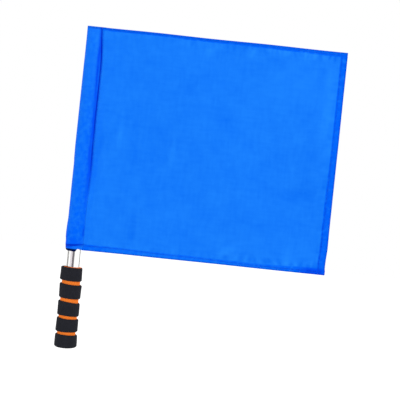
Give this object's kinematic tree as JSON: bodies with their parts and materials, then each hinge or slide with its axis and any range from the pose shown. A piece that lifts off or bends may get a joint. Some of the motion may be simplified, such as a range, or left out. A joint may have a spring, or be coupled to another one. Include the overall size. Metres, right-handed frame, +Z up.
{
  "type": "linesman flag",
  "caption": "Hand signal flag: a plain rectangular cloth with a pole sleeve on a round steel tube with a grooved foam hand grip.",
  "frame": {"origin": "centre of the flat face at the butt end of the grip, on the pole's axis", "axes": "+Z up along the pole towards the flag's top, +X from the pole towards the flag's fly edge, -Y out of the flag's front face"},
  "size_m": [0.3557, 0.0296, 0.4314],
  "materials": {
    "polyester_blue": "woven polyester, slight sheen",
    "stainless_steel": "polished",
    "plug_plastic": "moulded, satin",
    "foam_orange": "closed-cell foam, matt",
    "foam_black": "closed-cell foam, matt"
  },
  "bodies": {
    "pole": {"pole_tube": "stainless_steel", "top_plug": "plug_plastic", "butt_plug": "plug_plastic", "grip_core": "foam_orange", "grip_ring_1": "foam_black", "grip_ring_2": "foam_black", "grip_ring_3": "foam_black", "grip_ring_4": "foam_black", "grip_ring_5": "foam_black"},
    "flag": {"flag_cloth": "polyester_blue"}
  },
  "joints": [
    {"name": "flag_turn", "type": "hinge", "parent": "pole", "child": "flag", "pos_m": [0, 0, 0.28], "axis": [0, 0, 1], "continuous": true}
  ]
}
